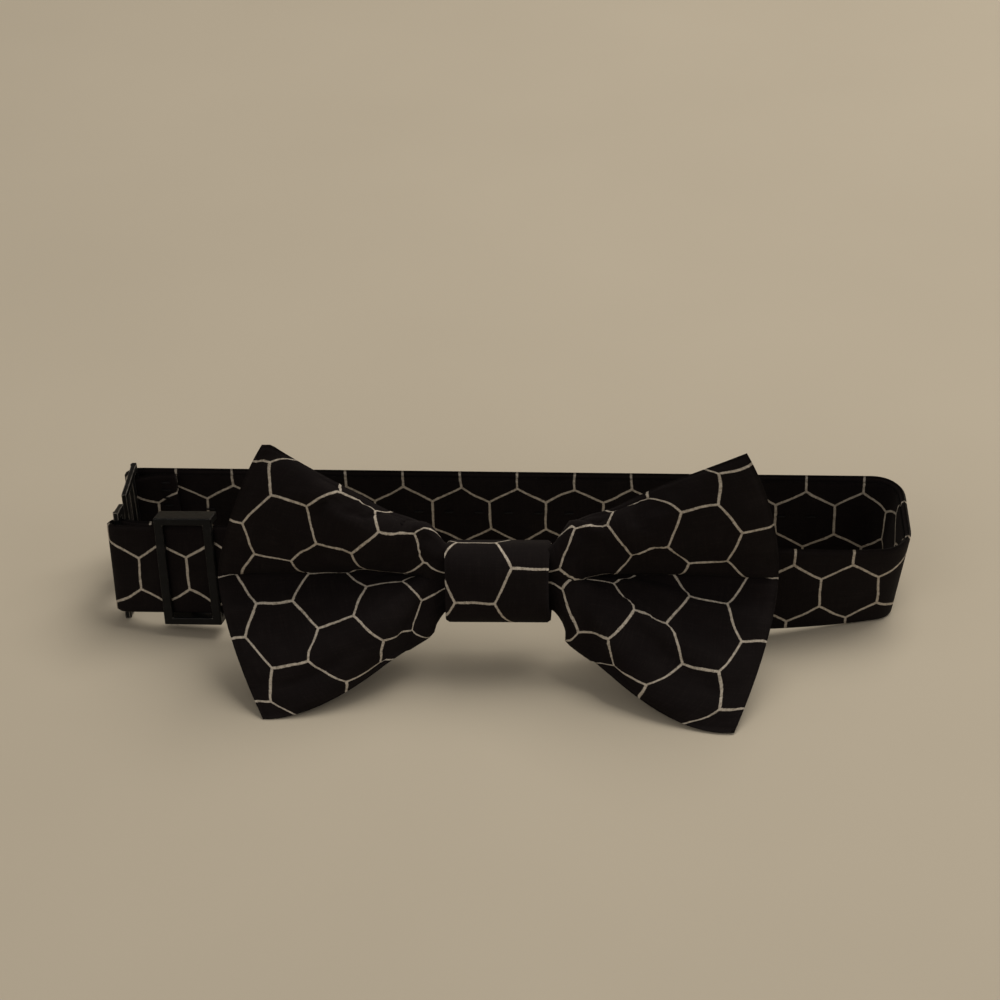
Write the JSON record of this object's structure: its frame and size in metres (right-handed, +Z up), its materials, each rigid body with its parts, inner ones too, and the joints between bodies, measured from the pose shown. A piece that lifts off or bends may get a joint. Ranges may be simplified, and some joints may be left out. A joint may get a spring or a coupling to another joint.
{
  "type": "bow tie",
  "caption": "Pre-tied bow tie in printed cotton on an adjustable neck band with a slider and a hook and eye clasp, standing as a closed loop.",
  "frame": {"origin": "middle of the standing tie's footprint, on the surface, under the knot's line of symmetry", "axes": "+X along the bow to the wearer's left wing as seen from the front, +Y from the bow to the back of the neck loop, +Z up"},
  "size_m": [0.1682, 0.062, 0.0505],
  "materials": {
    "printed_cotton": "matt plain weave with thin pale hexagon outlines",
    "lining": "matt bonded interlining",
    "thread": "matt twisted thread",
    "black_enamel": "satin black with worn edges"
  },
  "bodies": {
    "root": {"bow_front_ply": "printed_cotton", "bow_stiffener": "lining", "bow_back_ply": "printed_cotton", "bow_gather_thread": "thread", "knot_wrap": "printed_cotton", "knot_liner": "lining", "knot_seam_stitches": "thread", "band_face_ply": "printed_cotton", "band_interlining": "lining", "band_back_ply": "printed_cotton", "band_seam_stitches": "thread", "eye_fold_stitches": "thread"},
    "slider": {"slider_frame": "black_enamel", "strap_end_loop": "printed_cotton", "strap_end_stitches": "thread"},
    "hook": {"hook": "black_enamel"},
    "eye": {"eye": "black_enamel"}
  },
  "joints": [
    {"name": "slider_slide", "type": "slide", "parent": "root", "child": "slider", "axis": [0.9938, -0.0927, 0.0622], "range_m": [0, 0.032]},
    {"name": "hook_swing", "type": "hinge", "parent": "root", "child": "hook", "pos_m": [-0.08132, 0.00686, 0.01293], "axis": [-0.0376, 0.2465, 0.9684], "range_deg": [0, 100]},
    {"name": "eye_swing", "type": "hinge", "parent": "root", "child": "eye", "pos_m": [-0.0815, 0.02852, 0.0121], "axis": [0, 0, 1], "range_deg": [0, 35]}
  ]
}
